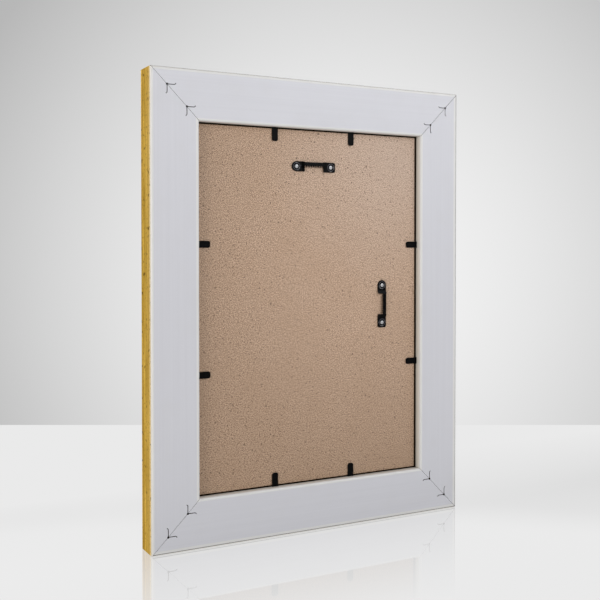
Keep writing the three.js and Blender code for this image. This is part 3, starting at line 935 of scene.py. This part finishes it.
def build_rails(flat, edge, lit_wall, foil, dark_shade):
    """The four rails, slotted for nails and tabs, with materials in the order of what covers a rail."""
    for side, rims in RIMS.items():
        matrix, half_length = side_frame(side)
        mesh = rail_mesh(half_length, rims)
        rail = make_object(f"{side}_rail_moulding", mesh, matrix, (flat, edge, lit_wall, foil, dark_shade))
        # The slots and punch marks are lined with the near-black painted shade.
        work(rail, slot_cutter(side, matrix, half_length), "DIFFERENCE", dark_shade)
        work(rail, punch_cutter(half_length), "DIFFERENCE", dark_shade)
        finish_piece(rail, "frame", "rail_plastic", f"{side}_rail")


def build_nails(steel):
    """Two V-nails across each mitre, placed from the rail whose -x end is at that corner."""
    for side, corner in CORNERS.items():
        matrix, half_length = side_frame(side)
        for place, inset in NAIL_INSETS.items():
            node = f"{corner}_v_nail_{place}"
            at = matrix @ Matrix.Translation((inset - half_length, inset, 0))
            nail = make_object(f"{node}_strip", nail_mesh(), at, (steel,))
            finish_piece(nail, "frame", "nail_steel", node)


def tab_blade(width, root, reach, thickness):
    """Blade over the board: round knuckle on the bend line at y = 0, rounded free end at +y."""
    half = width / 2
    corners = [
        (half, root, 0, None),
        (half, reach, TAB_END_ROUND, None),
        (-half, reach, TAB_END_ROUND, None),
        (-half, root, 0, None),
    ]
    bm = bmesh.new()
    add_prism(bm, [point for point, _ in rounded_outline(corners)], -thickness / 2, thickness / 2)

    def on_root(edge):
        one, other = (vert.co for vert in edge.verts)
        at_root = abs(one.y - root) < SAME_PLACE and abs(other.y - root) < SAME_PLACE
        return at_root and abs(one.x - other.x) > half

    ease_edges(bm, thickness * TAB_KNUCKLE_SHARE, on_root, steps=ROUND_STEPS)
    ease_edges(bm, TAB_SHEET_EDGE, is_crisp, steps=2)
    return bm


def tab_shank(width, embed, root, gap_end, low, high):
    """Pointed shank along -y that ends just short of the blade's knuckle, between two heights."""
    bm = bmesh.new()
    outline = shank_outline(width, embed, 0, gap_end - root)
    add_prism(bm, [point + Vector((0, root)) for point in outline], low, high)
    ease_edges(bm, TAB_SHEET_EDGE, is_crisp, steps=2)
    return bm


def build_tabs(coating):
    """A blade on each tab's own body, turning about its hinge, and its shank fixed in the rail."""
    hinges = {joint["child"]: Vector(joint["pos_m"]) for joint in frame["joints"]}
    for side, ends in TABS.items():
        matrix, _ = side_frame(side)
        for end in ends:
            body = f"{side}_tab_{end}"
            blade_node = f"{side}_tab_blade_{end}"
            shank_node = f"{side}_tab_shank_{end}"
            at_hinge = matrix.copy()
            at_hinge.translation = hinges[body]
            low, high = local_box(blade_node, at_hinge)
            gap_end = low.y - TAB_KNUCKLE_GAP
            mesh = tab_blade(high.x - low.x, low.y, high.y, high.z - low.z)
            blade = make_object(f"{blade_node}_strip", mesh, at_hinge, (coating,))
            finish_piece(blade, body, "tab_steel", blade_node)
            low, high = local_box(shank_node, at_hinge)
            mesh = tab_shank(high.x - low.x, high.y - low.y, high.y, gap_end, low.z, high.z)
            shank = make_object(f"{shank_node}_strip", mesh, at_hinge, (coating,))
            finish_piece(shank, "frame", "tab_steel", shank_node)


def hanger_frame(name):
    """Hanger frame on the board's back: x from its round end to its square end, y to the bar's side."""
    low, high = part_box(f"{name}_hanger")
    centre = (low + high) / 2
    centre.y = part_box("backing_board")[1].y
    along, across = (REAR_RIGHT, UP) if name == "top" else (-UP, REAR_RIGHT)
    return axes_at(along, across, BACKWARD, centre), (high - low).dot(Vector(map(abs, along)))


def build_hangers(coating, wear_and_highlight, metal):
    """Both hangers with a collar pressed up round each bore, in a paler worn grey that also paints its
    highlight, and their rivets.
    """
    board_low, board_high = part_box("backing_board")
    for name in ("top", "side"):
        matrix, length = hanger_frame(name)
        low, high = local_box(f"{name}_hanger", matrix)
        rivet_x = length / 2 - RIVET_END_DISTANCE
        seat = matrix @ Matrix.Translation((0, 0, HANGER_SEAT_GAP))
        plate = make_object(f"{name}_hanger_plate", hanger_mesh(length, high.y - low.y), seat, (coating,))
        collars = bmesh.new()
        bores = bmesh.new()
        for x in (-rivet_x, rivet_x):
            add_ring(collars, COLLAR_RADIUS, COLLAR_HALF_WIDTH, COLLAR_HEIGHT, HANGER_SHEET, (x, 0))
            bore = circle(RIVET_SHANK_RADIUS + RIVET_PLAY, LATHE_SIDES, (x, 0))
            add_prism(bores, bore, -CUT_PAST, HANGER_SHEET + COLLAR_HEIGHT + CUT_PAST)
        # The collar's paler grey is wear and also paints the highlight on its crest.
        work(plate, collars, "UNION", wear_and_highlight)
        work(plate, bores, "DIFFERENCE", coating)
        finish_piece(plate, "frame", "hanger_steel", f"{name}_hanger")
        for end, x in (("round_end", -rivet_x), ("square_end", rivet_x)):
            node = f"{name}_hanger_rivet_{end}"
            at = matrix @ Matrix.Translation((x, 0, 0))
            rivet = make_object(f"{node}_turned", rivet_mesh(board_high.y - board_low.y), at, (metal,))
            finish_piece(rivet, "frame", "rivet_metal", node)


def bore_cutter(matrix, low, high):
    """Cutter of the board's bores for the rivets, through the board from one height to another."""
    cutter = bmesh.new()
    for hanger in ("top", "side"):
        for end in ("round_end", "square_end"):
            rivet_low, rivet_high = local_box(f"{hanger}_hanger_rivet_{end}", matrix)
            middle = (rivet_low + rivet_high) / 2
            bore = circle(RIVET_SHANK_RADIUS + RIVET_PLAY, LATHE_SIDES, middle.xy)
            add_prism(cutter, bore, low - CUT_PAST, high + CUT_PAST)
    return cutter


def build_layers(fibre, glass, paper):
    """Board, sheet and pane, the board bored for the rivets."""
    upright = axes_at(REAR_RIGHT, UP, BACKWARD, Vector((0, 0, 0)))
    for node, name, edge, material, slot in (
        ("backing_board", "backing_board_fibre", BOARD_EDGE, fibre, "board_fibre"),
        ("picture_sheet", "picture_sheet_paper", PAPER_EDGE, paper, "sheet_paper"),
        ("glazing_pane", "glazing_pane_glass", PANE_EDGE, glass, "pane_glass"),
    ):
        low, high = local_box(node, upright)
        piece = make_object(name, slab(low, high, edge), upright, (material,))
        if node == "backing_board":
            work(piece, bore_cutter(upright, low.z, high.z), "DIFFERENCE", material)
        finish_piece(piece, "frame", slot, node)


# Camera, floor and light

def build_camera():
    data = bpy.data.cameras.new("camera")
    data.lens = CAMERA_LENS
    data.sensor_width = CAMERA_SENSOR
    data.shift_y = CAMERA_SHIFT_UP
    data.clip_start = CAMERA_NEAR
    camera = bpy.data.objects.new("camera", data)
    camera.location = CAMERA_PLACE
    camera.rotation_euler = (math.pi / 2 + CAMERA_TILT, 0, CAMERA_AZIMUTH)
    bpy.context.scene.collection.objects.link(camera)
    bpy.context.scene.camera = camera


def floor_material():
    """Pale floor that mirrors what stands on it, less and less away from the frame."""
    surface = Surface("pale_floor")
    behind = surface.axis(surface.place(even(1)), "Y")
    away = surface.combine("ABSOLUTE", behind, 0)
    mirror = surface.spread(away, RAIL_DEPTH / 2, FLOOR_MIRROR_REACH, FLOOR_MIRROR, 0)
    glow = surface.node("ShaderNodeEmission", {"Color": FLOOR_TONE, "Strength": 1.0})
    gloss = surface.node("ShaderNodeBsdfGlossy", {"Color": (1, 1, 1, 1), "Roughness": FLOOR_ROUGHNESS})
    both = surface.node("ShaderNodeMixShader", {0: mirror, 1: glow.outputs[0], 2: gloss.outputs[0]})
    surface.links.new(both.outputs[0], surface.nodes["Material Output"].inputs["Surface"])
    surface.nodes.remove(surface.shader)
    return surface.material


def build_floor():
    """Table top that ends behind the frame, square to the view."""
    bm = bmesh.new()
    corners = (
        (-FLOOR_HALF_WIDTH, -FLOOR_NEAR),
        (FLOOR_HALF_WIDTH, -FLOOR_NEAR),
        (FLOOR_HALF_WIDTH, FLOOR_REACH),
        (-FLOOR_HALF_WIDTH, FLOOR_REACH),
    )
    turned = Matrix.Rotation(CAMERA_AZIMUTH, 4, "Z")
    under_camera = Matrix.Translation((CAMERA_PLACE.x, CAMERA_PLACE.y, 0)) @ turned
    bm.faces.new([bm.verts.new(under_camera @ Vector((x, y, 0))) for x, y in corners])
    floor = make_object("floor", bm, Matrix(), (floor_material(),))
    return floor


def tone_ramp(tree, cosine):
    """Brightness of the backdrop for the cosine of the angle from its lightest place."""
    ramp = tree.node("ShaderNodeValToRGB", {"Fac": tree.spread(cosine, -1, 1)})
    stops = ramp.color_ramp.elements
    while len(stops) < len(BACKDROP_TONES):
        stops.new(1.0)
    for stop, (place, tone) in zip(stops, BACKDROP_TONES):
        stop.position = (place + 1) / 2
        stop.color = (tone, tone, tone, 1)
    return ramp.outputs["Color"]


def build_world():
    """Pale studio: grey backdrop that is lighter behind the frame, bright sides, dim behind the camera."""
    world = bpy.data.worlds.new("studio")
    world.use_nodes = True
    tree = NodeTree(world.node_tree)
    direction = tree.node("ShaderNodeTexCoord").outputs["Generated"]
    towards = tree.node("ShaderNodeVectorMath", {0: direction, 1: BACKDROP_CENTRE}, operation="DOT_PRODUCT")
    cosine = towards.outputs["Value"]
    high = tree.spread(tree.axis(direction, "Z"), *CEILING_SINES)
    behind = tree.spread(cosine, *CEILING_COSINES)
    overhead = tree.combine("MULTIPLY", high, behind)
    tone = tree.mix(overhead, tone_ramp(tree, cosine), CEILING_TONE)
    tree.links.new(tone, tree.nodes["Background"].inputs["Color"])
    bpy.context.scene.world = world


def build_lights(floor):
    """Soft lights that the camera and the floor's mirror do not see."""
    target = (CAD_LOW + CAD_HIGH) / 2
    unlit = bpy.data.collections.new("unlit")
    unlit.objects.link(floor)
    unlit.collection_objects[0].light_linking.link_state = "EXCLUDE"
    for name, place, size, power, colour in LIGHTS:
        data = bpy.data.lights.new(name, "AREA")
        data.size = size
        data.energy = power
        data.color = colour
        light = bpy.data.objects.new(name, data)
        light.location = place
        light.rotation_euler = (target - Vector(place)).to_track_quat("-Z", "Y").to_euler()
        light.visible_camera = False
        light.light_linking.receiver_collection = unlit
        bpy.context.scene.collection.objects.link(light)


build_camera()
build_world()
build_lights(build_floor())
bpy.context.scene.view_settings.view_transform = "Standard"

# The second and third whites are lighter copies of the first: painted light on the rims, the lip and the
# wall.
build_rails(
    *(white_plastic(name, *tones) for name, tones in WHITE_TONES.items()),
    gold_foil(),
    painted_shade(),
)
build_nails(nail_steel())
build_tabs(black_coating("tab_coating", 0.3, 0.48))
build_hangers(
    black_coating("hanger_coating", 0.22, 0.4),
    # Paler worn grey on the collars, which also paints their highlight.
    black_coating("worn_highlight_coating", 0.3, 0.4, wear_and_highlight=0.4, gloss=0.2),
    rivet_metal(),
)
build_layers(fibre_board(), clear_pane(), blank_paper())
